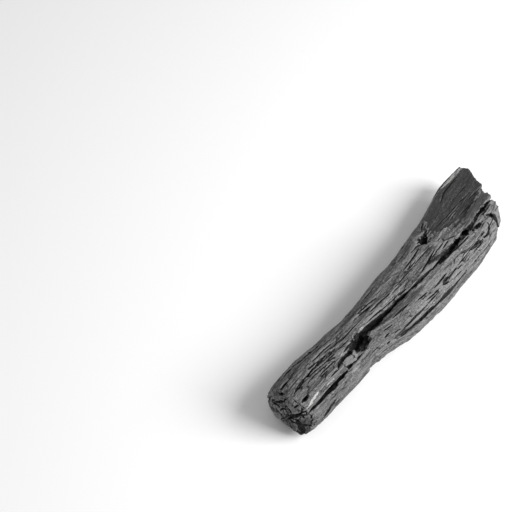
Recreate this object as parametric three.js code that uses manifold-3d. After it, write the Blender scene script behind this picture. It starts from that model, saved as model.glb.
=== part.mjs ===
// A lump of branch charcoal: a round of burnt branch, checked and split along its grain.
// Millimetres, +Z up. X runs along the grain, from the sawn end to the broken end, and +Y is the left side.
// The lump grew and burnt as one piece, so it is one solid.
import * as THREE from "three";
import { mergeVertices } from "three/addons/utils/BufferGeometryUtils.js";
import Module from "manifold-3d";

const wasm = await Module();
wasm.setup();

// Driving dimensions
const LENGTH = 224;
const HALF_LENGTH = LENGTH / 2;
const AXIS_HEIGHT = 17.2; // middle of the branch above the surface that it lies on
const MEAN_RADIUS = 18; // turns an angle round the branch into a distance along its bark

// The branch at ten even stations, from the sawn end to the broken end: how far its middle strays to the
// left, half its width, and how far it reaches up and down from its middle.
const BOW = [0, 0, -1.7, -3.1, -4.9, -5.3, -4.3, -2.9, 1.1, 5.7];
const HALF_WIDTH = [16.7, 18.2, 16.8, 15.9, 20, 21.3, 22.3, 23.4, 24.2, 21.1];
const REACH_UP = [15, 16, 16.5, 16.5, 17, 18, 18.5, 19, 19, 18.5];
const REACH_DOWN = [15.5, 16.6, 17.4, 17.6, 17.6, 17.7, 17.8, 18, 17.9, 17];
const SQUARENESS = 2.35; // 2 is an ellipse, and more is boxier

// Grain ridges run the length of the branch: how many stand round it, how high they are as a share of the
// radius, how far they wind round it, and where they start.
const RIDGES = [
  { count: 3, height: 0.02, wind: 0.9, start: 0.4 },
  { count: 7, height: 0.014, wind: -1.6, start: 2.1 },
  { count: 12, height: 0.012, wind: 2.4, start: 4 },
];

// How finely the branch is faceted
const SIDES = 36;
const RINGS = 46;

// Cracks along the grain. Each path is a few points of [distance along X, turn in degrees], where the turn
// is 0 at the top and grows towards the right side. Width is at the bark, and depth is below it.
const CRACKS = [
  { path: [[-116, 56], [-98, 55], [-80, 52], [-66, 49], [-52, 45]], width: 2.5, depth: 8 },
  { path: [[-46, 13], [-24, 18], [-5, 18], [15, 25]], width: 2.2, depth: 8 },
  { path: [[-50, 13], [-36, 15.5], [-16, 18]], width: 3.4, depth: 7 },
  { path: [[16, 23], [42, 27], [55, 28], [68, 31], [81, 31], [101, 40]], width: 2.4, depth: 10 },
  { path: [[-38, 66], [-18, 75], [5, 77], [30, 81], [47, 75]], width: 2.4, depth: 5 },
  { path: [[46, 71], [60, 77], [70, 83], [86, 74]], width: 1.6, depth: 5 },
  { path: [[-110, 9], [-98, 1], [-86, -4], [-74, -1], [-63, 3]], width: 1.3, depth: 3.5 },
  { path: [[-112, -31], [-98, -29], [-89, -30]], width: 1.2, depth: 3 },
  { path: [[-107, 28], [-98, 28]], width: 2.6, depth: 5 },
  { path: [[-76, 33], [-66, 26], [-55, 21]], width: 2.6, depth: 5 },
  { path: [[-68, -15], [-60, -14], [-52, -11]], width: 1.2, depth: 2.5 },
  { path: [[-84, -45], [-73, -44], [-58, -40]], width: 1.4, depth: 3 },
  { path: [[-43, -21], [-33, -22], [-20, -18]], width: 1.4, depth: 3 },
  { path: [[51, -24], [66, -16], [80, -14], [92, -6]], width: 1.3, depth: 8 },
  { path: [[16, 54], [28, 56], [40, 55]], width: 1.2, depth: 3 },
  { path: [[52, 53], [64, 56], [76, 61]], width: 1.2, depth: 3 },
  { path: [[64, 37], [78, 44]], width: 1.6, depth: 4 },
  { path: [[83, 42], [87.5, 58], [87, 86]], width: 2.6, depth: 3 },
  { path: [[-104, -82], [-70, -88], [-34, -84], [-6, -90]], width: 2.4, depth: 6 },
  { path: [[2, -84], [36, -90], [70, -86], [99, -92]], width: 2, depth: 5 },
  { path: [[-62, -122], [-24, -116], [20, -124], [58, -118]], width: 1.8, depth: 4 },
  { path: [[-96, 124], [-60, 118], [-30, 126]], width: 1.8, depth: 4 },
  { path: [[10, 122], [48, 128], [88, 120]], width: 2, depth: 5 },
];
const CRACK_STEP = 6; // length of one facet along a crack
const CRACK_TIP = 0.2; // width and depth left where a crack runs out
const CRACK_FOOT = 0.15; // width left at the bottom of a crack
const LIP = 1.6; // how far a cutting shape stands out of the bark

// Checks in the sawn end, from the pith out to the bark: the turn, the width at the bark, and the depth
// along the grain.
const END_CHECKS = [
  { turn: 50, width: 3.2, depth: 9 },
  { turn: 98, width: 3.4, depth: 8 },
  { turn: -28, width: 1.6, depth: 5 },
  { turn: -112, width: 1.8, depth: 6 },
  { turn: 168, width: 1.4, depth: 4 },
];

// Hollows: a burnt-out knot, a smaller one on the far side of the top, and the scar below the first.
const HOLLOWS = [
  { x: -49, turn: 23, long: 8.6, wide: 6, deep: 12 },
  { x: 38, turn: -29, long: 5.5, wide: 4.5, deep: 7 },
  { x: -47.5, turn: 104, long: 7.5, wide: 10, deep: 3.4 },
];

// The cleft: a flat split at the broken end, where the outer wood came away. Its edge is given in plan, as
// [x, y].
const CLEFT_EDGE = [
  [57, 16],
  [47, 5],
  [51, 0],
  [56, -2],
  [64, -3],
  [71, -6],
  [75, -4.6],
  [90, -2.4],
  [125, -1],
];
const CLEFT_HEIGHT = 33; // above the surface that the lump lies on, where y is 0
const CLEFT_TILT = 20; // degrees, down to the left

// The broken end in plan at the top of the lump, as [x, y] from left to right, and how it leans.
const BREAK_EDGE = [
  [118, 34],
  [118, 19],
  [109, 9],
  [105, 2],
  [98, 1],
  [97, -4],
  [99, -5.5],
  [96.5, -10],
  [97, -15],
  [90, -40],
];
const BREAK_LEAN = 6; // degrees, so that the foot of the break lies further back than its top
const BREAK_TOP = 34; // height at which the break has that plan

// Splinters that came out of the broken end lower down: the middle of each one's inner face, its width and
// height, and how it is turned about the grain and about the upright.
const SPLINTERS = [
  { at: [103, 17, 7], wide: 17, high: 16, turn: 14, slant: -9 },
  { at: [90, -9, 11], wide: 15, high: 13, turn: -22, slant: 10 },
  { at: [93.5, 4, 21], wide: 8, high: 12, turn: 9, slant: -16 },
  { at: [86, -22, 13], wide: 11, high: 16, turn: 17, slant: 12 },
];
const SPLINTER_LENGTH = 40;

// Facets where a chip came off, at the right corner of the broken end and beside the knot: the middle of
// each one, the way that it faces, and the size of the chip.
const FACETS = [
  { middle: [93, -18.5, 27], facing: [0.31, -0.85, 0.42], chip: 30 },
  { middle: [-64, -11.4, 29.2], facing: [-0.25, -0.5, 0.83], chip: 9 },
];

const FAR = 200; // reaches past the lump on every side

// Even values along the branch, joined by a smooth curve and read at a share of its length from 0 to 1.
function profile(values) {
  return new THREE.SplineCurve(values.map((value, i) => new THREE.Vector2(i, value)));
}
const bowCurve = profile(BOW);
const widthCurve = profile(HALF_WIDTH);
const upCurve = profile(REACH_UP);
const downCurve = profile(REACH_DOWN);

function shareAlong(x) {
  return THREE.MathUtils.clamp(x / LENGTH + 0.5, 0, 1);
}

// Distance from the branch's middle to its bark.
function barkRadius(x, turn) {
  const share = shareAlong(x);
  const across = Math.abs(Math.sin(turn)) / widthCurve.getPoint(share).y;
  const reachCurve = Math.cos(turn) > 0 ? upCurve : downCurve;
  const along = Math.abs(Math.cos(turn)) / reachCurve.getPoint(share).y;
  const plain = (across ** SQUARENESS + along ** SQUARENESS) ** (-1 / SQUARENESS);
  const ridges = RIDGES.map((r) => r.height * Math.cos(r.count * turn + r.wind * share * Math.PI + r.start));
  return plain * (1 + ridges.reduce((sum, height) => sum + height, 0));
}

// The point at a distance from the branch's middle.
function branchPoint(x, turn, radius) {
  const bow = bowCurve.getPoint(shareAlong(x)).y;
  return new THREE.Vector3(x, bow - radius * Math.sin(turn), AXIS_HEIGHT + radius * Math.cos(turn));
}

// A number from -1 to 1 that looks random and is the same each time.
function ragged(seed) {
  const wild = Math.sin(seed * 12.9898 + 4.1414) * 43758.5453;
  return 2 * (wild - Math.floor(wild)) - 1;
}

// A closed geometry as a solid, with its shared corners merged and its flat triangles dropped.
function solidOf(geometry) {
  geometry.deleteAttribute("normal");
  geometry.deleteAttribute("uv");
  const merged = mergeVertices(geometry, 1e-4);
  const index = merged.index.array;
  const triVerts = [];
  for (let i = 0; i < index.length; i += 3) {
    const [a, b, c] = index.slice(i, i + 3);
    if (a !== b && b !== c && c !== a) triVerts.push(a, b, c);
  }
  return new wasm.Manifold(
    new wasm.Mesh({
      numProp: 3,
      vertProperties: merged.attributes.position.array,
      triVerts: new Uint32Array(triVerts),
    }),
  );
}

// Moves every corner of a geometry to where a rule puts it.
function shaped(geometry, rule) {
  const position = geometry.attributes.position;
  const corner = new THREE.Vector3();
  for (let i = 0; i < position.count; i++) {
    const moved = rule(corner.fromBufferAttribute(position, i));
    position.setXYZ(i, moved.x, moved.y, moved.z);
  }
  return geometry;
}

// The branch before it cracks: a lathed bar whose rings are moved out to the bark.
const SAWN_END_DOME = 5; // how far the middle of the sawn end stands out past its rim
const SAWN_END_FLATNESS = 4; // more keeps the dome flat for longer before it rounds off
const SAWN_END_RINGS = [0, 0.35, 0.65, 0.88, 0.97];
const BROKEN_END_RINGS = [0.6, 0];
const SPARE_LENGTH = 12; // trimmed off the broken end

// The saw went askew: its cut is set back at the right side and comes forward below.
const SAW_SHIFTS = [
  { turn: 86, back: 5.5 },
  { turn: 138, back: -3.7 },
];
const SAW_SHIFT_SHARPNESS = 10; // more keeps each one to fewer turns
const SAW_SHIFT_REACH = 28; // how much of the branch gives way to it

function sawShift(x, turn, ring) {
  const near = 1 - THREE.MathUtils.smoothstep(x, -HALF_LENGTH, -HALF_LENGTH + SAW_SHIFT_REACH);
  const backs = SAW_SHIFTS.map((shift) => {
    const away = turn - THREE.MathUtils.degToRad(shift.turn);
    return shift.back * ((1 + Math.cos(away)) / 2) ** SAW_SHIFT_SHARPNESS;
  });
  return ring ** SAWN_END_FLATNESS * near * backs.reduce((sum, back) => sum + back, 0);
}

function branch() {
  const rimX = -HALF_LENGTH + SAWN_END_DOME;
  const endX = HALF_LENGTH + SPARE_LENGTH;
  const domeX = (ring) => -HALF_LENGTH + SAWN_END_DOME * ring ** SAWN_END_FLATNESS;
  const bar = SAWN_END_RINGS.map((ring) => new THREE.Vector2(ring, domeX(ring)));
  for (let i = 1; i <= RINGS; i++) bar.push(new THREE.Vector2(1, rimX + ((endX - rimX) * i) / RINGS));
  for (const ring of BROKEN_END_RINGS) bar.push(new THREE.Vector2(ring, endX));
  return solidOf(
    shaped(new THREE.LatheGeometry(bar, SIDES), (corner) => {
      const ring = Math.hypot(corner.x, corner.z);
      const turn = Math.atan2(corner.x, corner.z);
      const x = corner.y + sawShift(corner.y, turn, ring);
      return branchPoint(x, turn, ring * barkRadius(x, turn));
    }),
  );
}

// A blade that cuts a crack: widest at the bark, nearly sharp at the bottom, and running out at both tips.
const WIDTH_ROUGHNESS = 0.35;
const DEPTH_ROUGHNESS = 0.2;

function crackBlade({ path, width, depth }) {
  const toArc = THREE.MathUtils.degToRad(MEAN_RADIUS);
  const line = new THREE.SplineCurve(path.map(([x, turn]) => new THREE.Vector2(x, turn * toArc)));
  const steps = Math.max(3, Math.ceil(line.getLength() / CRACK_STEP));
  return solidOf(
    shaped(new THREE.BoxGeometry(1, 1, 1, steps, 1, 1), (corner) => {
      const share = corner.x + 0.5;
      const middle = line.getPoint(share);
      const heading = line.getTangent(share);
      const size = Math.max(CRACK_TIP, Math.sqrt(Math.abs(Math.sin(Math.PI * share))));
      const seed = Math.round(share * steps) + path[0][0];
      const outside = corner.z > 0;
      const flare = outside ? 1 + (2 * LIP) / depth : 2 * CRACK_FOOT;
      const aside = -corner.y * width * size * flare * (1 + WIDTH_ROUGHNESS * ragged(seed + corner.y));
      const down = depth * size * (1 + DEPTH_ROUGHNESS * ragged(seed * 3));
      const x = middle.x - heading.y * aside;
      const turn = (middle.y + heading.x * aside) / MEAN_RADIUS;
      return branchPoint(x, turn, barkRadius(x, turn) + (outside ? LIP : -down));
    }),
  );
}

// A wedge that cuts a check into the sawn end, in a plane through the pith, and wanders a little aside.
const CHECK_STEPS = 3;
const CHECK_WANDER = 0.8;
const PITH_SHARE = 0.3; // of a check's width and depth at the bark, what is left at the pith

function endCheckWedge({ turn, width, depth }) {
  const angle = THREE.MathUtils.degToRad(turn);
  const asideWay = new THREE.Vector3(0, -Math.cos(angle), -Math.sin(angle));
  const wedge = shaped(new THREE.BoxGeometry(1, 1, 1, CHECK_STEPS, 1, 1), (corner) => {
    const out = corner.x + 0.5;
    const inside = corner.z > 0;
    const size = THREE.MathUtils.lerp(PITH_SHARE, 1, out);
    const x = -HALF_LENGTH + (inside ? depth * size : -LIP);
    const radius = out * (barkRadius(-HALF_LENGTH, angle) + 2 * LIP);
    const wander = CHECK_WANDER * ragged(turn + Math.round(out * CHECK_STEPS));
    const aside = corner.y * width * size * (inside ? CRACK_FOOT : 1) + wander;
    return branchPoint(x, angle, radius).addScaledVector(asideWay, aside);
  });
  return solidOf(wedge);
}

// A rough ball that cuts a hollow, laid out along the bark. Corners in one small cell move by one amount.
const HOLLOW_ROUGHNESS = 0.26;
const CELLS = 9;
const HOLLOW_SIDES = 14;
const HOLLOW_RINGS = 10;

function hollowBall({ x, turn, long, wide, deep }) {
  const angle = THREE.MathUtils.degToRad(turn);
  return solidOf(
    shaped(new THREE.SphereGeometry(1, HOLLOW_SIDES, HOLLOW_RINGS), (corner) => {
      const [a, b, c] = corner.toArray().map((value) => Math.round(value * CELLS));
      const size = 1 + HOLLOW_ROUGHNESS * ragged(a + 1.7 * b + 2.3 * c + x);
      const along = x + corner.x * long * size;
      const round = angle - (corner.y * wide * size) / MEAN_RADIUS;
      return branchPoint(along, round, barkRadius(along, round) + corner.z * deep * size);
    }),
  );
}

// A prism that stands on a polygon drawn in plan.
function prism(points, height) {
  const outline = new THREE.Shape(points.map(([x, y]) => new THREE.Vector2(x, y)));
  return new THREE.ExtrudeGeometry(outline, { depth: height, bevelEnabled: false });
}

// The wood that came away above the cleft.
function cleftWood() {
  const tilt = THREE.MathUtils.degToRad(CLEFT_TILT);
  const outline = [...CLEFT_EDGE, [FAR, FAR], [CLEFT_EDGE[0][0], FAR]];
  const block = prism(outline, FAR).scale(1, 1 / Math.cos(tilt), 1);
  return solidOf(block.rotateX(-tilt).translate(0, 0, CLEFT_HEIGHT));
}

// What is past the break.
function pastBreak() {
  const outline = [...BREAK_EDGE, [FAR, -40], [FAR, 34]];
  const lean = new THREE.Matrix4().makeShear(0, 0, 0, 0, Math.tan(THREE.MathUtils.degToRad(BREAK_LEAN)), 0);
  const block = prism(outline, FAR).translate(0, 0, -FAR / 2).applyMatrix4(lean);
  return solidOf(block.translate(0, 0, BREAK_TOP));
}

// A splinter's block, which reaches out past the break.
function splinterBlock({ at, wide, high, turn, slant }) {
  const block = new THREE.BoxGeometry(SPLINTER_LENGTH, wide, high).translate(SPLINTER_LENGTH / 2, 0, 0);
  block.rotateX(THREE.MathUtils.degToRad(turn)).rotateZ(THREE.MathUtils.degToRad(slant));
  return solidOf(block.translate(...at));
}

// The chip that left a facet.
function chipBlock({ middle, facing, chip }) {
  const way = new THREE.Vector3(...facing).normalize();
  const turned = new THREE.Quaternion().setFromUnitVectors(new THREE.Vector3(0, 0, 1), way);
  const block = new THREE.BoxGeometry(chip, chip, chip).translate(0, 0, chip / 2);
  return solidOf(block.applyQuaternion(turned).translate(...middle));
}

// What would lie below the surface that the lump rests on.
function belowSurface() {
  return solidOf(new THREE.BoxGeometry(2 * FAR, FAR, FAR).translate(0, 0, -FAR / 2));
}

function lump() {
  const cutters = [
    cleftWood(),
    pastBreak(),
    ...FACETS.map(chipBlock),
    ...SPLINTERS.map(splinterBlock),
    ...HOLLOWS.map(hollowBall),
    ...CRACKS.map(crackBlade),
    ...END_CHECKS.map(endCheckWedge),
    belowSurface(),
  ];
  return cutters.reduce((body, cutter) => body.subtract(cutter), branch());
}

// The solid as a geometry, with the origin in the middle of its foot.
function geometryOf(solid) {
  const mesh = solid.getMesh();
  const geometry = new THREE.BufferGeometry();
  geometry.setAttribute("position", new THREE.BufferAttribute(mesh.vertProperties, 3));
  geometry.setIndex(new THREE.BufferAttribute(mesh.triVerts, 1));
  geometry.computeBoundingBox();
  const middle = geometry.boundingBox.getCenter(new THREE.Vector3());
  geometry.translate(-middle.x, -middle.y, -geometry.boundingBox.min.z);
  geometry.computeVertexNormals();
  return geometry;
}

const charcoal = new THREE.MeshStandardMaterial({ color: 0x2b2b2c, roughness: 0.75, metalness: 0 });
const charcoalLump = new THREE.Mesh(geometryOf(lump()), charcoal);
charcoalLump.name = "charcoal_lump";

const part = new THREE.Group();
part.add(charcoalLump);

export default part;
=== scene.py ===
"""A lump of branch charcoal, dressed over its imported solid, on a plain pale stage.

The solid gives the form: the bowed branch, its cracks, knot, cleft and broken end. This script takes a copy
of it, sculpts the burnt grain into that copy and gives it a charcoal finish.
"""
import math
import random

import bmesh
import bpy
import numpy as np
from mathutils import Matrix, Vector, noise


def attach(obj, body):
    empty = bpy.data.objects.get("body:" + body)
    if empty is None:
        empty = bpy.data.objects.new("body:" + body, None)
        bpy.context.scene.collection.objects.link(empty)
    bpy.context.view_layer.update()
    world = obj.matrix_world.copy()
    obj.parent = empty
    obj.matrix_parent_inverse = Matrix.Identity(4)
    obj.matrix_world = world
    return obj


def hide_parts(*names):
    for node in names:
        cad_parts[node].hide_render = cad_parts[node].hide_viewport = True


bl_info = {
    "name": "Charcoal lump",
    "version": (1, 0, 0),
    "blender": (4, 5, 0),
    "location": "View3D > Sidebar > Charcoal",
    "description": "Sculpts the burnt grain of a charcoal lump and sets the stage that it is shown on",
    "category": "Object",
}

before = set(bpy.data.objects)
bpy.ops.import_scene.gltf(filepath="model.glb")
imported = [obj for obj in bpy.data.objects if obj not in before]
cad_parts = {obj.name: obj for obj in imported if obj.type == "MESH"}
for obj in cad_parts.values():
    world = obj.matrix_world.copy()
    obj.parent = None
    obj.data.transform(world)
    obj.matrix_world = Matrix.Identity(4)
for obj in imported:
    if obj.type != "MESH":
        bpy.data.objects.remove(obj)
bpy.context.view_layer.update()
MM = 0.001
NODE = "charcoal_lump"
PIECE = "charred_lump"

# The middle line of the branch in plan, and its height, in millimetres
MIDDLE_X = (-114.6, -89.7, -64.8, -39.9, -15.0, 9.9, 34.8, 59.7, 84.5, 109.4)
MIDDLE_Y = (-0.2, -0.2, -1.9, -3.3, -5.1, -5.5, -4.5, -3.1, 0.9, 5.5)
MIDDLE_Z = 17.2
ROUND = 18.0  # the radius that grain coordinates have everywhere, in place of the branch's own

# How the branch is measured: slices for its width and height, and a map of its bark by place and turn
SLICE_STEP = 8.0
SLICE_REACH = 6.0
SLICE_ENDS = (-104.0, 84.0)
BARK_STEP = 1.5
BARK_TURNS = 144
BARK_DIP_STEPS = 2
BARK_DIP_TURNS = 8

# Knots that the fibres bend round: place along, turn in degrees from the top to the right, reach and spin
KNOTS = (
    (-52.0, 23.0, 9.0, 0.35),
    (35.5, -28.0, 9.0, -0.45),
    (69.0, 54.0, 6.0, 0.5),
)
SCAR = (-49.5, 104.0, 9.0, 0.0)  # the shallow hollow at the waist, given in the same way
KNOT_SPREAD = 1.3  # how far round a knot the wood is ragged, in reaches

# Fine cracks in the bark, each with its path as places along and turns, and half its width
FINE_CRACKS = (
    (((-73.7, -13), (-63, -9.5), (-57, -7.3)), 0.7),
    (((-107, 3), (-103, -2), (-96, -4), (-92, 2), (-86, 3), (-79, 5)), 0.65),
    (((-78, 7), (-71.5, 11)), 0.6),
    (((-109, -32), (-103.5, -31), (-98, -26)), 0.65),
    (((-91, -48), (-86, -42), (-76, -46), (-69, -36)), 0.95),
    (((-99.5, -49), (-91.5, -46)), 0.7),
    (((-105, 94), (-99.5, 88), (-94, 83), (-88, 80)), 0.75),
    (((-51.5, 58.5), (-44, 59)), 0.7),
    (((-44, 85), (-35.5, 88)), 0.7),
    (((48.5, 51.5), (57, 57), (64.5, 59.5)), 0.7),
    (((49.5, 76), (64, 76.5), (76, 74.5)), 0.8),
    (((12, 70), (20, 73.5), (31, 84)), 0.7),
    (((27, 65), (33, 65), (38.5, 66)), 0.7),
    (((16.9, 56.4), (22.9, 60.6)), 0.6),
    (((77.5, 37.5), (84, 39.5), (90, 40)), 0.8),
    (((66.5, 41), (73, 44.5)), 0.8),
    (((75.7, 49), (75.5, 56.6), (72, 61.2), (65.7, 60.1)), 0.7),
    (((-25.7, 33.4), (-18.4, 33.9), (-11, 35)), 0.65),
    (((-35.6, 42), (-29, 43.7)), 0.65),
    (((-25, 65.7), (-16, 61), (-8.5, 60)), 0.7),
    (((-38, -27), (-28.7, -25.7), (-20, -22.6)), 0.7),
    (((-31.8, -7.7), (-21.8, -8.5), (-12.4, -7)), 0.7),
    (((-11, 9.6), (-3.5, 12)), 0.65),
    (((-4, 43), (5, 45.5)), 0.65),
    (((66, -65), (55, -60), (42, -40)), 1.0),
    (((33, 3), (22.5, 9), (12, 12)), 0.8),
    (((28, -24), (18, -20), (6, -19)), 0.8),
    (((-66, 16), (-55, 10)), 0.9),
    (((-6, 17.2), (4.8, 19.6), (11.9, 21.5), (18, 23.5), (25, 26.5)), 1.1),
    (((25.5, 29), (38.9, 32.5), (46.3, 35), (58, 37)), 0.8),
    (((-31, 59), (-26, 60)), 0.6),
    (((-38.5, 53.5), (-33.5, 52)), 0.6),
    (((-38, 71), (-35, 71.5)), 0.55),
    (((-28, 78.5), (-20.5, 79.5)), 0.6),
)

# Long straight cracks in the cleft
CLEFT_CRACKS = (
    (((80, -43), (89, -39.5), (98, -36)), 0.55),
    (((52, -35), (60, -32.8), (67, -29), (75, -27), (82, -22), (92, -12)), 0.7),
    (((58, -26), (68, -22), (76, -17)), 0.55),
    (((68, 0), (75.8, 4), (79.6, 9), (87, 16)), 0.7),
    (((84, -5), (92, 2), (99, 8)), 0.6),
    (((75, -61), (86, -67), (97, -67), (107, -66)), 0.7),
)

# Cracks in the sawn end, each with its path across it, from the left and from the foot, and half its width
END_CRACKS = (
    (((-2.3, 15.6), (-5.4, 20.7), (-9, 23.6), (-13, 25)), 1.5),
    (((-7.6, 19.8), (-9.9, 14.9), (-11.6, 9), (-12.4, 5)), 2.6),
    (((3.8, 19.3), (0.9, 24.2)), 0.7),
    (((-0.1, 27), (-3.2, 24.6), (-5.4, 20.7)), 0.7),
    (((7.4, 18.7), (5.4, 17.2), (2.4, 16.2)), 0.7),
    (((11, 22.9), (7.5, 23.9), (4, 26.9), (1.8, 29.2)), 0.8),
    (((8.8, 29.8), (4.3, 31.6)), 1.5),
    (((13.6, 23), (13.9, 16)), 1.2),
    (((1, 13.5), (4.6, 8.5), (6.4, 3.5)), 0.8),
    (((-3, 12.5), (-5.8, 7)), 0.6),
    (((-4.6, 27.4), (-7, 30.4)), 0.6),
)
PITH = (-0.9, 19.0)
RING_WIDTH = 1.8
BLOCK_SIZE = 7.5  # of the blocks that both ends split into
BLOCK_ROUND = 9.0  # the distance from the pith where the blocks are as wide as they are long

# More fine cracks, strewn all over the bark in small groups
STREWN_SEED = 7
STREWN_GROUPS = 72
STREWN_LENGTH = (4.0, 30.0)
STREWN_HALF_WIDTH = (0.3, 0.64)
STREWN_ENDS = (-112.0, 108.0)
STREWN_COUNTS = (1, 2, 3, 4)  # in a group
STREWN_LEAN = 0.15  # degrees for each millimetre of length
STREWN_FOLLOW = (0.2, 1.1)  # how far on the next of a group starts, in lengths
STREWN_GAP = (3, 9)  # degrees between the cracks of a group

# Streaks on the bark: a path as places along and turns, half its width, and how much there is.
# Ash, partly a painted highlight on the cleft's rim; paler wood, partly painted light, and darker streaks
# of painted shade; and painted shade.
ASH_AND_HIGHLIGHT_STREAKS = (
    (((-110, 45.5), (-103, 40.5), (-96, 37)), 1.6, 0.7),
    (((-90, 40), (-81.5, 41)), 1.4, 0.6),
    (((-48, 3), (-39.7, 11)), 1.5, 0.65),
    (((-41, -3), (-24, -2), (-7, 4)), 3.0, 0.36),
    # Partly ash and partly a painted highlight along the cleft's left rim.
    (((76, -80), (88, -76), (99, -73), (107.5, -71), (116, -69)), 2.2, 0.62),
)
PALE_AND_LIGHTING_STREAKS = (
    (((30, 8), (50, 8), (67, 8)), 7.5, 1.0),
    (((-46, -2), (-24, -2), (-4, 4)), 4.5, 0.9),
    # Painted shade on the slope beside the mid crack.
    (((-40, 25), (-22, 26), (-8, 29), (6, 33)), 3.6, -0.9),
    (((-20, 55), (20, 58), (60, 62), (80, 66)), 9.0, 0.4),
    # Painted shade on the top of the near end.
    (((-115, -12), (-85, -8), (-55, -6)), 12.0, -0.2),
)
# Painted shade: dark streaks where shade falls, such as the strip under the corner facet.
PAINTED_SHADE_STREAKS = (
    (((80, 44), (85, 58), (84.5, 86)), 2.4, 0.75),
    (((20, 12), (30, 19), (40, 24)), 2.6, 0.5),
)

# The cleft's plane, and where along the lump it starts
CLEFT_HEIGHT = 33.1
CLEFT_TILT = math.radians(20.0)
CLEFT_START = 44.0
CLEFT_REACH = 1.3

# Where the broken end's torn wood starts and is fully torn, along the lump
RAGGED_END = (80.0, 87.0)

# The facets where chips came off: a point on each, the way that it faces, and how far it reaches
CORNER_FACET = ((90.4, -18.7, 27.0), (0.31, -0.85, 0.42), 17.0)
LEDGE_FACET = ((-66.6, -11.6, 29.2), (-0.25, -0.5, 0.83), 7.0)
FACET_GAP = 0.8
FACET_FACING = (0.75, 0.92)

# The ends: past where along the lump they are, and how squarely a point faces along it to be part of them
SAWN_BEFORE = -95.0
SAWN_FACING = (0.5, 0.85)
BROKEN_PAST = 75.0
BROKEN_FACING = (0.45, 0.8)

# How far below the bark the walls of cracks start, and the painted shade of deep hollows starts and is
# full.
# Knots and open wood have it deeper by so much.
WALL_DEPTHS = (0.7, 1.6)
SHADE_DEPTHS = (0.3, 2.4)
KNOT_DEPTHS = (0.6, 1.0)
OPEN_DEPTHS = (1.5, 5.0)

# The sawn end's seams between blocks, and its blotches of soot
SEAM_GAPS = (0.1, 0.35)
SEAM_SHARE = 0.8
BLOTCH_SHARE = 0.4

# How much paler each face is than the bark. The cleft is darker partly by its own wood and partly by
# painted shade, the sawn end by painted shade, and the corner facet is paler partly by painted light.
FACET_TINT_AND_LIGHT = 0.4
LEDGE_TINT = 1.7
CLEFT_TINT_AND_SHADE = -0.7
SAWN_SHADE = -0.2
BLOCK_TINT = 0.5

# How far the lips of cracks stray, as shares of the setting: on open bark, on the walls of cracks, and what
# the far stretch of the main crack and the knots add to that
BARK_STRAY = 0.6
WALL_STRAY = 1.7
FAR_STRAY = 1.5
FAR_STRETCH = (20.0, 45.0)
KNOT_STRAY = 2.6

# The broken end: how far its wood is torn aside, how deep its blocks and fibres lie back, and how far in
# from the rim the blocks are loose
TORN_ASIDE = 1.2
BLOCK_DEPTH = 2.0
FIBRE_DEPTH = 0.8
BLOCK_RIM = (0.5, 5.0)

# The camera, as the photograph saw the lump: a point of the lump, and the pixel that it falls on
IMAGE_SIZE = 512
AIM_POINT = (-2.59 * MM, -1.7 * MM, 17.8 * MM)
AIM_PIXEL = (395.2, 299.0)
VIEW_AZIMUTH = math.radians(-52.0)
VIEW_ELEVATION = math.radians(50.0)
CAMERA_DISTANCE = 0.894
LENS = 100.0
SENSOR = 36.0

# The floor and the large lamp, in metres
FLOOR_REACH = 3.0
FLOOR_DROP = 0.1 * MM
KEY_PLACE = (0.33, -0.79, 0.68)
KEY_SIZE = 0.7


class LumpSettings(bpy.types.PropertyGroup):
    """The sizes and colours of the lump's surface."""

    voxel: bpy.props.FloatProperty(
        name="Voxel", description="Fineness of the surface before it is sculpted",
        default=0.36 * MM, unit="LENGTH")
    most_triangles: bpy.props.IntProperty(
        name="Most triangles", description="What the sculpted surface is thinned to", default=196000)
    stray: bpy.props.FloatProperty(
        name="Stray", description="How far the lips of cracks stray", default=0.4 * MM, unit="LENGTH")
    splinter: bpy.props.FloatProperty(
        name="Splinters", description="How far fibres stick out where the grain is cut across",
        default=1.8 * MM, unit="LENGTH")
    swell: bpy.props.FloatProperty(
        name="Swell", description="Height of the broad swells", default=0.4 * MM, unit="LENGTH")
    plate: bpy.props.FloatProperty(
        name="Plates", description="How far one side of a fine crack stands up",
        default=0.4 * MM, unit="LENGTH")
    flake: bpy.props.FloatProperty(
        name="Flakes", description="Thickness of the flakes of wood", default=0.32 * MM, unit="LENGTH")
    fibre: bpy.props.FloatProperty(
        name="Fibres", description="Height of the fibres", default=0.18 * MM, unit="LENGTH")
    fissure: bpy.props.FloatProperty(
        name="Fissures", description="Depth of the fine cracks", default=1.2 * MM, unit="LENGTH")
    # The soot colour is also the colour of the painted shade in cracks and hollows.
    soot_and_shade_colour: bpy.props.FloatVectorProperty(
        name="Soot", description="Colour of the wood in its cracks", subtype="COLOR",
        size=4, default=(0.004, 0.004, 0.004, 1))
    char_colour: bpy.props.FloatVectorProperty(
        name="Char", description="Colour of the darker grain", subtype="COLOR",
        size=4, default=(0.035, 0.035, 0.035, 1))
    grain_colour: bpy.props.FloatVectorProperty(
        name="Grain", description="Colour of the lighter grain", subtype="COLOR",
        size=4, default=(0.2, 0.2, 0.2, 1))
    # The ash colour is also the colour of the painted highlight on the cleft's rim and of the painted
    # glints.
    ash_and_highlight_colour: bpy.props.FloatVectorProperty(
        name="Ash", description="Colour of the ash", subtype="COLOR",
        size=4, default=(0.45, 0.45, 0.44, 1))


class StageSettings(bpy.types.PropertyGroup):
    """The floor and the light."""

    floor_colour: bpy.props.FloatVectorProperty(
        name="Floor", description="Colour of the floor", subtype="COLOR",
        size=4, default=(0.96, 0.96, 0.96, 1))
    sky: bpy.props.FloatProperty(
        name="Sky", description="Strength of the even light all round", default=0.45)
    key: bpy.props.FloatProperty(
        name="Key light", description="Power of the large lamp", default=16.5, unit="POWER")


# Measuring the branch

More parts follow.
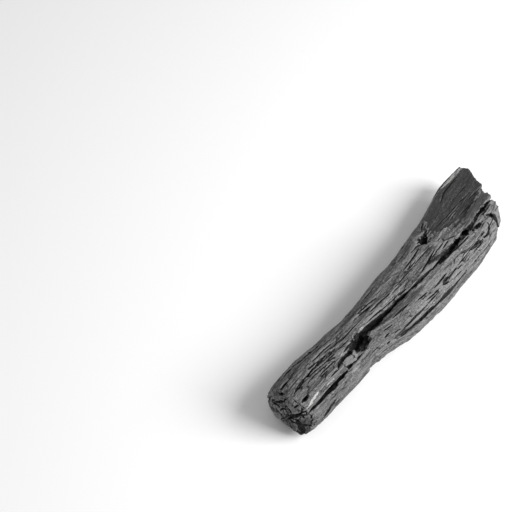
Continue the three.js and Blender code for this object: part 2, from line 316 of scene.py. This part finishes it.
def smoothstep(low, high, value):
    """0 below low, 1 above high, and a smooth rise between them."""
    share = np.clip((value - low) / (high - low), 0, 1)
    return share * share * (3 - 2 * share)


def spread(cells, pick):
    """Each cell of a bark map takes the most or the least of the cells about it."""
    edge = np.pad(cells, ((BARK_DIP_STEPS, BARK_DIP_STEPS), (0, 0)), mode="edge")
    rows = [edge[i:i + len(cells)] for i in range(2 * BARK_DIP_STEPS + 1)]
    turns = range(-BARK_DIP_TURNS, BARK_DIP_TURNS + 1)
    return pick([np.roll(row, turn, axis=1) for row in rows for turn in turns], axis=0)


class Branch:
    """The branch's width, height and bark, measured on the points of its surface."""

    def __init__(self, points):
        self.stations = np.arange(SLICE_ENDS[0], SLICE_ENDS[1] + 1, SLICE_STEP)
        slices = [points[abs(points[:, 0] - x) < SLICE_REACH] for x in self.stations]
        self.half_width = [np.ptp(s[:, 1]) / 2 for s in slices]
        self.half_height = [s[:, 2].max() - MIDDLE_Z for s in slices]
        self.start = points[:, 0].min()
        x, turn, radius = self.place(points)
        row, column = self.cell(x, turn)
        bark = np.zeros((row.max() + 1, BARK_TURNS))
        np.maximum.at(bark, (row, column), radius)
        self.bark = spread(spread(bark, np.max), np.min)

    def place(self, points):
        """Place along the branch, turn in radians from the top to the right, and distance out."""
        x = points[:, 0]
        across = points[:, 1] - np.interp(x, MIDDLE_X, MIDDLE_Y)
        up = points[:, 2] - MIDDLE_Z
        return x, np.arctan2(-across, up), np.hypot(across, up)

    def cell(self, x, turn):
        """Where in the bark map a place and turn fall."""
        row = ((x - self.start) / BARK_STEP).astype(int)
        column = ((turn / (2 * math.pi) + 0.5) * BARK_TURNS).astype(int) % BARK_TURNS
        return row, column

    def depth(self, points):
        """How far points lie below the bark."""
        x, turn, radius = self.place(points)
        return self.bark[self.cell(x, turn)] - radius

    def grain(self, points):
        """Points moved as if the branch were straight and even, for patterns that follow its grain."""
        x = points[:, 0]
        across = points[:, 1] - np.interp(x, MIDDLE_X, MIDDLE_Y)
        up = points[:, 2] - MIDDLE_Z
        across = across / np.interp(x, self.stations, self.half_width) * ROUND
        up = up / np.interp(x, self.stations, self.half_height) * ROUND
        return np.stack([x, across, up], 1)


def knot_middle(along, turn):
    """Where a knot's middle lies in grain coordinates."""
    return along, -ROUND * math.sin(turn), ROUND * math.cos(turn)


def knot_share(grain, knots):
    """1 in the middle of each knot, falling away to 0 round it."""
    shares = []
    for along, degrees, reach, _ in knots:
        offset = grain - knot_middle(along, math.radians(degrees))
        shares.append(np.exp(-(offset ** 2).sum(1) / (KNOT_SPREAD * reach) ** 2))
    return np.max(shares, axis=0)


def swirl(grain):
    """Grain coordinates turned round each knot, so that the fibres bend past it."""
    turned = grain.copy()
    for along, degrees, reach, spin in KNOTS:
        turn = math.radians(degrees)
        side = np.array([-math.cos(turn), -math.sin(turn)])
        offset = turned - knot_middle(along, turn)
        a = offset[:, 0]
        b = offset[:, 1:] @ side
        angle = spin * np.exp(-((offset ** 2).sum(1)) / reach ** 2)
        new_a = a * np.cos(angle) - b * np.sin(angle)
        new_b = a * np.sin(angle) + b * np.cos(angle)
        turned[:, 0] += new_a - a
        turned[:, 1:] += (new_b - b)[:, None] * side
    return turned


# Patterns in the grain

def streaks(grain, along, across, seed, octaves=2):
    """Fractal noise from about -1 to 1, with that length along the grain and that width across it."""
    cells = grain / (along, across, across) + (seed * 17.3, seed * 5.7, seed * 11.9)
    return np.array([noise.fractal(cell, 1.0, 2.0, octaves) for cell in cells.tolist()])


class Drawing:
    """A surface laid out flat, to draw lines on."""

    def __init__(self, first, second):
        self.flat = np.stack([first, second], 1)

    def line(self, corners, half_width, reach):
        """The points within reach of a line, how much of it covers each, and how far aside each one lies.

        The line thins out to both of its tips.
        """
        corners = np.array(corners)
        low = corners.min(0) - reach
        high = corners.max(0) + reach
        found = np.nonzero(((self.flat > low) & (self.flat < high)).all(1))[0]
        steps = np.diff(corners, axis=0)
        lengths = np.hypot(steps[:, 0], steps[:, 1])
        run = np.concatenate([[0], np.cumsum(lengths)]) / lengths.sum()
        best = np.full(len(found), np.inf)
        aside = np.zeros(len(found))
        thickness = np.zeros(len(found))
        for i, (step, length) in enumerate(zip(steps, lengths)):
            offset = self.flat[found] - corners[i]
            along = np.clip(offset @ step / length ** 2, 0, 1)
            gap = offset - along[:, None] * step
            distance = np.hypot(gap[:, 0], gap[:, 1])
            nearer = distance < best
            best[nearer] = distance[nearer]
            turned = step[0] * offset[:, 1] - step[1] * offset[:, 0]
            aside[nearer] = (np.sign(turned) * distance)[nearer]
            place = run[i] + along * (run[i + 1] - run[i])
            thickness[nearer] = np.sqrt(np.sin(math.pi * np.clip(place, 0.01, 0.99)))[nearer]
        cover = 1 - smoothstep(0.35, 1, best / (half_width * thickness))
        return found, cover, aside, thickness

    def share(self, lines):
        """How much of each point the lines cover. Each has a path, half a width and an amount."""
        most = np.zeros(len(self.flat))
        for path, half_width, amount in lines:
            found, cover, _, _ = self.line(path, half_width, 2 * half_width)
            stronger = abs(amount * cover) > abs(most[found])
            most[found] = np.where(stronger, amount * cover, most[found])
        return most


def on_bark(path):
    """A path of places along and turns, as places along the bark and distances round it."""
    return [(x, math.radians(turn) * ROUND) for x, turn in path]


def strewn_cracks():
    """Short cracks along the grain, strewn over the bark."""
    chance = random.Random(STREWN_SEED)
    cracks = []
    for _ in range(STREWN_GROUPS):
        x = chance.uniform(*STREWN_ENDS)
        turn = chance.uniform(-180, 180)
        for _ in range(chance.choice(STREWN_COUNTS)):
            length = chance.triangular(*STREWN_LENGTH, STREWN_LENGTH[0])
            lean = chance.uniform(-STREWN_LEAN, STREWN_LEAN) * length
            bend = chance.uniform(-1, 1)
            path = ((x, turn), (x + length / 2, turn + lean / 2 + bend), (x + length, turn + lean))
            cracks.append((path, chance.uniform(*STREWN_HALF_WIDTH)))
            x += length * chance.uniform(*STREWN_FOLLOW)
            turn += chance.choice((-1, 1)) * chance.uniform(*STREWN_GAP)
    return cracks


# Sculpting

PLATE_REACH = 7.0  # how far from a crack its plates are looked for
PLATE_FALL = 2.6  # how soon they sink back
FLAKE_EDGES = (-0.3, -0.05, 0.2)  # the heights of the noise where one flake ends on the next
FLAKE_SHARPNESS = 0.025
CHECK_DEPTH = 1.6  # of the cracks in the sawn end, against those in the bark
CAVITY_ROUNDS = 12  # how much the surface is smoothed to tell its hollows from its ridges
RIDGE_HEIGHTS = (0.03, 0.2)


def crack_shares(bark):
    """How much of each point lies in a fine crack, and how far the plates beside cracks lift it."""
    chance = random.Random(STREWN_SEED + 1)
    crack = np.zeros(len(bark.flat))
    lift = np.zeros(len(bark.flat))
    for path, half_width in (*FINE_CRACKS, *strewn_cracks()):
        found, cover, aside, thickness = bark.line(on_bark(path), half_width, PLATE_REACH)
        crack[found] = np.maximum(crack[found], cover)
        raised = chance.uniform(-1, 1) * np.sign(aside)
        lift[found] += raised * thickness * np.exp(-abs(aside) / PLATE_FALL)
    return crack, np.clip(lift, -1.2, 1.2)


def relaxed(points, edges, rounds):
    """Points drawn towards their neighbours, as many times as asked."""
    count = np.bincount(edges.ravel(), minlength=len(points))[:, None]
    for _ in range(rounds):
        total = np.stack([
            np.bincount(edges[:, 0], points[edges[:, 1], axis], len(points))
            + np.bincount(edges[:, 1], points[edges[:, 0], axis], len(points))
            for axis in range(3)
        ], 1)
        points = 0.5 * points + 0.5 * total / count
    return points


def cleft_share(points):
    """1 on the flat cleft at the broken end, and 0 off it."""
    gap = points[:, 2] - (CLEFT_HEIGHT - np.tan(CLEFT_TILT) * points[:, 1])
    near = 1 - smoothstep(CLEFT_REACH, 1.6 * CLEFT_REACH, abs(gap))
    return near * smoothstep(CLEFT_START - 1, CLEFT_START + 1, points[:, 0])


def end_blocks(points, chosen):
    """The blocks that the wood split into across its grain, round the pith and away from it.

    Each chosen point gets its distance to the next block, and a random level of its own block from -1 to 1.
    """
    across = points[chosen, 1] - PITH[0]
    up = points[chosen, 2] - PITH[1]
    wander = 0.2 * streaks(points[chosen], 4, 4, 22)
    about = BLOCK_ROUND * np.arctan2(across, up)
    cells = np.stack([np.hypot(across, up), about, 0 * across], 1) / BLOCK_SIZE
    gap = np.zeros(len(points))
    level = np.zeros(len(points))
    found = [noise.voronoi(cell) for cell in (cells + wander[:, None]).tolist()]
    gap[chosen] = [BLOCK_SIZE * (distances[1] - distances[0]) / 2 for distances, _ in found]
    level[chosen] = [noise.cell(9 * middles[0]) for _, middles in found]
    return gap, level


def facet_share(points, normals, point, way, reach):
    """1 on a flat facet where a chip came off, and 0 off it."""
    facing = np.array(way) / np.linalg.norm(way)
    offset = points - point
    near = 1 - smoothstep(FACET_GAP, 2 * FACET_GAP, abs(offset @ facing))
    near *= 1 - smoothstep(reach - 1, reach, np.linalg.norm(offset, axis=1))
    return near * smoothstep(*FACET_FACING, normals @ facing)


class Faces:
    """Which face of the lump each point is part of, as shares from 0 to 1, and how it lies in the grain."""

    def __init__(self, points, normals, branch):
        self.x, self.turn, _ = branch.place(points)
        self.plain = branch.grain(points)
        self.grain = swirl(self.plain)
        self.sawn = smoothstep(*SAWN_FACING, -normals[:, 0]) * (self.x < SAWN_BEFORE)
        self.broken = smoothstep(*BROKEN_FACING, normals[:, 0]) * (self.x > BROKEN_PAST)
        self.cleft = cleft_share(points)
        self.bark = (1 - self.sawn) * (1 - self.broken)
        self.ledge = facet_share(points, normals, *LEDGE_FACET)
        self.facet = np.maximum(self.ledge, facet_share(points, normals, *CORNER_FACET))
        self.knot = knot_share(self.plain, KNOTS)
        self.scar = knot_share(self.plain, [SCAR])
        self.ragged_end = smoothstep(*RAGGED_END, self.x) * (1 - self.cleft) * (1 - self.facet)
        self.block_gap, self.block_level = end_blocks(points, np.maximum(self.sawn, self.broken) > 0)
        self.below = branch.depth(points)
        self.depth = self.below * self.bark * (1 - self.cleft) * (1 - self.facet)
        self.wall = smoothstep(*WALL_DEPTHS, self.depth)


class Marks:
    """The cracks, stains, painted shade and painted light at each point, as shares from 0 to 1."""

    def __init__(self, points, faces):
        wander = 0.25 * streaks(faces.plain, 14, 6, 21)
        bark = Drawing(faces.x, faces.turn * ROUND + wander)
        end = Drawing(points[:, 1] + wander, points[:, 2] + wander)
        crack, self.lift = crack_shares(bark)
        split = bark.share([(on_bark(path), width, 1) for path, width in CLEFT_CRACKS])
        self.crack = faces.bark * np.maximum(crack * (1 - faces.cleft), split * faces.cleft)
        check = end.share([(path, width, 1) for path, width in END_CRACKS])
        seam = SEAM_SHARE * (1 - smoothstep(*SEAM_GAPS, faces.block_gap))
        seam *= smoothstep(-0.4, 0, streaks(points, 6, 6, 19))
        self.check = faces.sawn * np.maximum(check, seam)
        ash_and_highlight, pale_and_lighting, soot_and_shade = [
            bark.share([(on_bark(path), width, amount) for path, width, amount in stain])
            for stain in (ASH_AND_HIGHLIGHT_STREAKS, PALE_AND_LIGHTING_STREAKS, PAINTED_SHADE_STREAKS)
        ]
        open_wood = np.maximum(faces.scar, faces.ragged_end)
        start, full = [
            bark_depth + knot_depth * faces.knot + open_depth * open_wood
            for bark_depth, knot_depth, open_depth in zip(SHADE_DEPTHS, KNOT_DEPTHS, OPEN_DEPTHS)
        ]
        # Painted shade: the deeper a point lies below the bark, the darker it is painted.
        deep = smoothstep(start, full, faces.depth)
        blotch = BLOTCH_SHARE * faces.sawn * smoothstep(0, 0.4, streaks(points, 5, 5, 18))
        # Soot and painted shade: the painted shade streaks and deep hollows, with the dark cracks and the
        # sawn end's blotches.
        self.soot_and_shade = np.max([soot_and_shade, 1.5 * deep, 1.1 * self.crack, 1.3 * self.check, blotch], axis=0)
        self.ash_and_highlight = ash_and_highlight * (1 - deep) * (1 - self.crack)
        # Paler streaks and the corner facet partly painted light; darker streaks, the cleft and the sawn
        # end painted shade.
        self.tint_and_lighting = pale_and_lighting + FACET_TINT_AND_LIGHT * faces.facet + LEDGE_TINT * faces.ledge
        self.tint_and_lighting += CLEFT_TINT_AND_SHADE * faces.cleft + SAWN_SHADE * faces.sawn
        self.tint_and_lighting += BLOCK_TINT * faces.block_level * np.maximum(faces.sawn, faces.broken)


def flake_levels(height):
    """A smooth height as a few flat levels with sharp edges."""
    steps = [smoothstep(edge - FLAKE_SHARPNESS, edge + FLAKE_SHARPNESS, height) for edge in FLAKE_EDGES]
    return np.sum(steps, axis=0) - len(FLAKE_EDGES) / 2


def fray(points, faces, settings):
    """The points with ragged lips and loose ends of fibre, in millimetres."""
    grain = faces.grain
    loose = (1 - faces.sawn) * (1 - 0.8 * faces.facet)
    far = FAR_STRAY * smoothstep(*FAR_STRETCH, faces.x)
    wall = (WALL_STRAY + far + KNOT_STRAY * faces.knot) * faces.wall
    reach = settings.stray / MM * loose * (BARK_STRAY + wall)
    torn = TORN_ASIDE * faces.ragged_end * np.maximum(faces.wall, faces.broken)
    moved = points.copy()
    for axis, seed in ((1, 1), (2, 2)):
        coarse = streaks(grain, 14, 4, seed)
        moved[:, axis] += reach * (0.4 * coarse + streaks(grain, 4, 1.2, seed + 30)) + torn * coarse
    splinter = settings.splinter / MM * (1 + faces.knot) * streaks(grain, 60, 1.3, 3)
    moved[:, 0] += splinter * faces.bark * loose
    fibre = abs(streaks(faces.plain, 40, 1.1, 13, 1))
    hollow = smoothstep(*BLOCK_RIM, faces.below) * (1 + faces.block_level)
    moved[:, 0] -= faces.broken * (BLOCK_DEPTH * hollow + FIBRE_DEPTH * fibre)
    moved[:, 2] = np.maximum(moved[:, 2], 0)
    return moved


def sculpt(points, normals, faces, marks, settings):
    """The points with the burnt grain in them, in millimetres."""
    grain = faces.grain
    open_bark = faces.bark * (1 - faces.wall) * (1 - 0.85 * faces.facet)
    even = 1 - 0.85 * faces.cleft
    swell = settings.swell / MM * (streaks(grain, 70, 12, 4) + 0.8 * streaks(grain, 16, 8, 23))
    frayed = grain.copy()
    frayed[:, 0] += 9 * streaks(grain, 60, 1.1, 15)
    flakes = settings.flake / MM * flake_levels(streaks(frayed, 45, 5, 14))
    plates = settings.plate / MM * marks.lift
    coarse = settings.fibre / MM * (1 - 2.2 * abs(streaks(grain, 70, 1.9, 5, 1)))
    fine = 0.5 * settings.fibre / MM * (1 - 2.2 * abs(streaks(grain, 35, 0.9, 6, 1)))
    height = open_bark * (even * (swell + flakes + plates + coarse) + fine)
    split = open_bark * (1 - 0.5 * faces.cleft) * marks.crack
    height -= settings.fissure / MM * (split + CHECK_DEPTH * marks.check)
    height += 0.12 * streaks(points, 1.3, 1.3, 11)

    ring = np.hypot(points[:, 1] - PITH[0], points[:, 2] - PITH[1])
    rings = np.sin(2 * math.pi * ring / RING_WIDTH + 2.5 * streaks(points, 6, 6, 16))
    height += faces.sawn * (0.06 * rings + 0.3 * faces.block_level + 0.3 * streaks(points, 3, 3, 17))
    moved = points + normals * height[:, None]
    moved[:, 2] = np.maximum(moved[:, 2], 0)
    return moved


def add_attribute(mesh, name, values):
    """A number or a vector for every corner of the mesh, for the finish to read."""
    if values.ndim == 1:
        mesh.attributes.new(name, "FLOAT", "POINT").data.foreach_set("value", values.astype(np.float32))
    else:
        layer = mesh.attributes.new(name, "FLOAT_VECTOR", "POINT")
        layer.data.foreach_set("vector", values.astype(np.float32).ravel())


def read_points(mesh):
    """The mesh's corners and normals, in millimetres."""
    points = np.empty(3 * len(mesh.vertices), np.float32)
    normals = np.empty_like(points)
    mesh.vertices.foreach_get("co", points)
    mesh.vertices.foreach_get("normal", normals)
    return points.reshape(-1, 3).astype(float) / MM, normals.reshape(-1, 3).astype(float)


def read_edges(mesh):
    edges = np.empty(2 * len(mesh.edges), np.int32)
    mesh.edges.foreach_get("vertices", edges)
    return edges.reshape(-1, 2)


def write_points(mesh, points):
    mesh.vertices.foreach_set("co", (points * MM).astype(np.float32).ravel())
    mesh.update()


def with_modifier(piece, kind, **values):
    """Applies one modifier to a piece."""
    modifier = piece.modifiers.new(kind.title(), kind)
    for name, value in values.items():
        setattr(modifier, name, value)
    graph = bpy.context.evaluated_depsgraph_get()
    made = bpy.data.meshes.new_from_object(piece.evaluated_get(graph))
    piece.modifiers.clear()
    old = piece.data
    piece.data = made
    bpy.data.meshes.remove(old)


def copy_of_node(name):
    """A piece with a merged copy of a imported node's mesh."""
    mesh = bpy.data.meshes.new(PIECE)
    shape = bmesh.new()
    shape.from_mesh(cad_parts[name].data)
    bmesh.ops.remove_doubles(shape, verts=shape.verts, dist=0.001 * MM)
    shape.to_mesh(mesh)
    shape.free()
    piece = bpy.data.objects.new(PIECE, mesh)
    bpy.context.scene.collection.objects.link(piece)
    return piece


def drop_crumbs(mesh):
    """Takes away the small loose bits, so that one body is left."""
    shape = bmesh.new()
    shape.from_mesh(mesh)
    unseen = set(shape.verts)
    bodies = []
    while unseen:
        body = [unseen.pop()]
        for corner in body:
            found = [edge.other_vert(corner) for edge in corner.link_edges]
            new = [each for each in found if each in unseen]
            unseen.difference_update(new)
            body.extend(new)
        bodies.append(body)
    bodies.sort(key=len)
    crumbs = [corner for body in bodies[:-1] for corner in body]
    bmesh.ops.delete(shape, geom=crumbs, context="VERTS")
    shape.to_mesh(mesh)
    shape.free()


# Materials

def add_node(tree, kind, inputs=None, **values):
    """A node with its settings and inputs. An input is a value, or the output that feeds it."""
    made = tree.nodes.new(kind)
    for name, value in values.items():
        setattr(made, name, value)
    for name, value in (inputs or {}).items():
        if isinstance(value, bpy.types.NodeSocket):
            tree.links.new(value, made.inputs[name])
        else:
            made.inputs[name].default_value = value
    return made


def add_reading(tree, name, output):
    """What one of the mesh's attributes holds."""
    return add_node(tree, "ShaderNodeAttribute", attribute_name=name).outputs[output]


def add_math(tree, operation, first, second=0.0):
    return add_node(tree, "ShaderNodeMath", {0: first, 1: second}, operation=operation).outputs[0]


def add_sum(tree, *layers):
    """The layers added up, each times its weight."""
    total = 0.0
    for layer, weight in layers:
        total = add_node(
            tree, "ShaderNodeMath", {0: layer, 1: weight, 2: total}, operation="MULTIPLY_ADD").outputs[0]
    return total


def add_rise(tree, value, low, high):
    """0 where a value is below low, 1 where it is above high, and a smooth rise between them."""
    made = add_node(
        tree, "ShaderNodeMapRange", {"Value": value, "From Min": low, "From Max": high},
        interpolation_type="SMOOTHSTEP")
    return made.outputs["Result"]


def add_mix(tree, share, first, second):
    made = add_node(tree, "ShaderNodeMix", data_type="RGBA")
    for index, value in ((0, share), (6, first), (7, second)):
        if isinstance(value, bpy.types.NodeSocket):
            tree.links.new(value, made.inputs[index])
        else:
            made.inputs[index].default_value = value
    return made.outputs[2]


def add_streaks(tree, grain, along, across, detail=4.0, roughness=0.6):
    """Noise with that length along the grain and that width across it, in millimetres."""
    cells = add_node(
        tree, "ShaderNodeVectorMath",
        {0: grain, 1: (1 / along, 1 / across, 1 / across)}, operation="MULTIPLY").outputs[0]
    return add_node(
        tree, "ShaderNodeTexNoise",
        {"Vector": cells, "Scale": 1.0, "Detail": detail, "Roughness": roughness}).outputs["Fac"]


def add_checks(tree, grain, along, across):
    """Thin dark checks between slivers of that length and width, open in some places only."""
    cells = add_node(
        tree, "ShaderNodeVectorMath",
        {0: grain, 1: (1 / along, 1 / across, 1 / across)}, operation="MULTIPLY").outputs[0]
    edge = add_node(
        tree, "ShaderNodeTexVoronoi", {"Vector": cells, "Scale": 1.0},
        feature="DISTANCE_TO_EDGE").outputs["Distance"]
    line = add_math(tree, "SUBTRACT", 1.0, add_rise(tree, edge, 0.015, 0.075))
    return add_math(tree, "MULTIPLY", line, add_rise(tree, add_streaks(tree, grain, 12, 5), 0.46, 0.62))


def new_material(name):
    material = bpy.data.materials.new(name)
    material.use_nodes = True
    return material, material.node_tree, material.node_tree.nodes["Principled BSDF"]


def charcoal_finish(settings):
    """Burnt grain, dark in its cracks, with painted shade in its hollows, painted glints and a painted
    highlight, dusted with ash.
    """
    material, tree, shader = new_material("charcoal_finish")
    grain = add_reading(tree, "grain", "Vector")
    cavity, edge, soot_and_shade, ash_and_highlight, tint_and_lighting = [
        add_reading(tree, name, "Fac") for name in ("cavity", "edge", "soot_and_shade", "ash_and_highlight", "tint_and_lighting")
    ]

    broad_streak = add_streaks(tree, grain, 80, 4)
    long_streak = add_streaks(tree, grain, 50, 1.3)
    short_streak = add_streaks(tree, grain, 12, 0.6)
    fleck = add_streaks(tree, grain, 1.2, 0.75, 3.0, 0.7)
    stain = add_streaks(tree, grain, 5, 2)
    blotch = add_streaks(tree, grain, 14, 7)
    checks = add_checks(tree, grain, 15, 2.6)

    tone = add_sum(
        tree, (broad_streak, 0.22), (long_streak, 0.22), (short_streak, 0.22), (fleck, 0.34),
        (tint_and_lighting, 0.1), (edge, 0.06))
    colour = add_mix(tree, add_rise(tree, tone, 0.42, 0.61), settings.char_colour, settings.grain_colour)
    # Painted glints: small light flecks in the ash colour, fewer on the darker faces.
    glint = add_rise(tree, add_streaks(tree, grain, 1.1, 0.9, 1.0), 0.66, 0.74)
    glint = add_math(tree, "MULTIPLY", glint, add_rise(tree, tint_and_lighting, -0.5, 0.5))
    colour = add_mix(tree, glint, colour, settings.ash_and_highlight_colour)
    pores = add_rise(tree, add_streaks(tree, grain, 6, 0.7), 0.6, 0.67)
    ragged = add_sum(tree, (fleck, 0.4), (short_streak, 0.3), (stain, 0.9))
    # Where the soot-and-shade share is high, the colour turns to soot and painted shade, with ragged edges.
    burnt_and_shaded = add_rise(tree, add_math(tree, "ADD", soot_and_shade, ragged), 1.05, 1.3)
    # Painted shade in the hollows: the deeper the cavity, the darker, together with the pores and checks.
    dark = add_math(tree, "MULTIPLY", add_rise(tree, cavity, 0.06, 0.3), 0.8)
    for layer in (burnt_and_shaded, add_math(tree, "MULTIPLY", pores, 0.75), checks):
        dark = add_math(tree, "MAXIMUM", dark, layer)
    colour = add_mix(tree, dark, colour, settings.soot_and_shade_colour)
    # Ash, and the painted highlight along the cleft's rim.
    dust_and_highlight = add_rise(tree, add_math(tree, "ADD", ash_and_highlight, ragged), 1.25, 1.45)
    colour = add_mix(tree, dust_and_highlight, colour, settings.ash_and_highlight_colour)
    tree.links.new(colour, shader.inputs["Base Color"])

    matt = add_node(
        tree, "ShaderNodeMapRange", {"Value": blotch, "To Min": 0.48, "To Max": 0.72}).outputs["Result"]
    tree.links.new(matt, shader.inputs["Roughness"])
    shader.inputs["Specular IOR Level"].default_value = 0.4

    height = add_sum(tree, (short_streak, 1.0), (fleck, 0.8), (checks, -0.5), (burnt_and_shaded, -0.6))
    bump = add_node(
        tree, "ShaderNodeBump", {"Height": height, "Strength": 0.9, "Distance": 0.6 * MM}).outputs["Normal"]
    tree.links.new(bump, shader.inputs["Normal"])
    return material


def floor_finish(settings):
    material, tree, shader = new_material("pale_floor")
    shader.inputs["Base Color"].default_value = settings.floor_colour
    shader.inputs["Roughness"].default_value = 0.9
    shader.inputs["Specular IOR Level"].default_value = 0.1
    return material


class CHARCOAL_OT_lump(bpy.types.Operator):
    """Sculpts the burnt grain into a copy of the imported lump"""

    bl_idname = "charcoal.lump"
    bl_label = "Make the lump"

    def execute(self, context):
        settings = context.scene.charcoal_lump
        piece = copy_of_node(NODE)
        with_modifier(piece, "REMESH", mode="VOXEL", voxel_size=settings.voxel)
        points, normals = read_points(piece.data)
        branch = Branch(points)
        write_points(piece.data, fray(points, Faces(points, normals, branch), settings))
        with_modifier(piece, "REMESH", mode="VOXEL", voxel_size=settings.voxel)

        mesh = piece.data
        drop_crumbs(mesh)
        edges = read_edges(mesh)
        write_points(mesh, relaxed(read_points(mesh)[0], edges, 1))
        points, normals = read_points(mesh)
        faces = Faces(points, normals, branch)
        marks = Marks(points, faces)
        write_points(mesh, sculpt(points, normals, faces, marks, settings))
        points, normals = read_points(mesh)
        cavity = ((relaxed(points, edges, CAVITY_ROUNDS) - points) * normals).sum(1)
        add_attribute(mesh, "grain", faces.grain)
        add_attribute(mesh, "cavity", cavity)
        add_attribute(mesh, "edge", smoothstep(*RIDGE_HEIGHTS, -cavity))
        add_attribute(mesh, "soot_and_shade", marks.soot_and_shade)
        add_attribute(mesh, "ash_and_highlight", marks.ash_and_highlight)
        add_attribute(mesh, "tint_and_lighting", marks.tint_and_lighting)
        triangles = sum(len(face.vertices) - 2 for face in mesh.polygons)
        with_modifier(piece, "DECIMATE", ratio=settings.most_triangles / triangles)
        piece.data.shade_smooth()
        piece.data.materials.append(charcoal_finish(settings))
        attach(piece, "root")
        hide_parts(NODE)
        return {"FINISHED"}


class CHARCOAL_OT_stage(bpy.types.Operator):
    """Lays the floor, hangs the lamps and sets the camera"""

    bl_idname = "charcoal.stage"
    bl_label = "Set the stage"

    def execute(self, context):
        settings = context.scene.charcoal_stage
        scene = context.scene
        lay_floor(scene, settings)
        hang_lamps(scene, settings)
        set_camera(scene)
        scene.view_settings.view_transform = "Standard"
        return {"FINISHED"}


def lay_floor(scene, settings):
    mesh = bpy.data.meshes.new("floor")
    shape = bmesh.new()
    bmesh.ops.create_grid(shape, x_segments=1, y_segments=1, size=FLOOR_REACH)
    shape.to_mesh(mesh)
    shape.free()
    mesh.materials.append(floor_finish(settings))
    floor = bpy.data.objects.new("floor", mesh)
    floor.location.z = -FLOOR_DROP
    scene.collection.objects.link(floor)


def hang_lamps(scene, settings):
    world = bpy.data.worlds.new("studio")
    world.use_nodes = True
    sky = world.node_tree.nodes["Background"]
    sky.inputs["Color"].default_value = (1, 1, 1, 1)
    sky.inputs["Strength"].default_value = settings.sky
    scene.world = world
    add_lamp(scene, "key", KEY_PLACE, KEY_SIZE, settings.key)


def add_lamp(scene, name, place, size, power):
    data = bpy.data.lights.new(name, "AREA")
    data.energy = power
    data.size = size
    lamp = bpy.data.objects.new(name, data)
    lamp.location = place
    lamp.rotation_euler = (-Vector(place)).to_track_quat("-Z", "Y").to_euler()
    scene.collection.objects.link(lamp)


def set_camera(scene):
    """The camera looks down on the lump from the sawn end's side, as the photograph does."""
    ahead = Vector((
        -math.sin(VIEW_AZIMUTH) * math.cos(VIEW_ELEVATION),
        math.cos(VIEW_AZIMUTH) * math.cos(VIEW_ELEVATION),
        -math.sin(VIEW_ELEVATION),
    ))
    turn = ahead.to_track_quat("-Z", "Y")
    right = turn @ Vector((1, 0, 0))
    up = turn @ Vector((0, 1, 0))
    focal_pixels = IMAGE_SIZE * LENS / SENSOR
    aside = (AIM_PIXEL[0] - IMAGE_SIZE / 2) / focal_pixels
    below = (AIM_PIXEL[1] - IMAGE_SIZE / 2) / focal_pixels
    data = bpy.data.cameras.new("camera")
    data.lens = LENS
    data.sensor_width = SENSOR
    camera = bpy.data.objects.new("camera", data)
    camera.location = Vector(AIM_POINT) - CAMERA_DISTANCE * (ahead + aside * right - below * up)
    camera.rotation_euler = turn.to_euler()
    scene.collection.objects.link(camera)
    scene.camera = camera


class CHARCOAL_PT_panel(bpy.types.Panel):
    bl_idname = "CHARCOAL_PT_panel"
    bl_label = "Charcoal lump"
    bl_space_type = "VIEW_3D"
    bl_region_type = "UI"
    bl_category = "Charcoal"

    def draw(self, context):
        for settings in (context.scene.charcoal_lump, context.scene.charcoal_stage):
            for name in settings.__annotations__:
                self.layout.prop(settings, name)
        for operator in (CHARCOAL_OT_lump, CHARCOAL_OT_stage):
            self.layout.operator(operator.bl_idname)


CLASSES = (LumpSettings, StageSettings, CHARCOAL_OT_lump, CHARCOAL_OT_stage, CHARCOAL_PT_panel)


def register():
    for each in CLASSES:
        bpy.utils.register_class(each)
    bpy.types.Scene.charcoal_lump = bpy.props.PointerProperty(type=LumpSettings)
    bpy.types.Scene.charcoal_stage = bpy.props.PointerProperty(type=StageSettings)


def unregister():
    del bpy.types.Scene.charcoal_stage
    del bpy.types.Scene.charcoal_lump
    for each in reversed(CLASSES):
        bpy.utils.unregister_class(each)


def main():
    register()
    bpy.ops.charcoal.lump()
    bpy.ops.charcoal.stage()


if __name__ == "__main__":
    main()
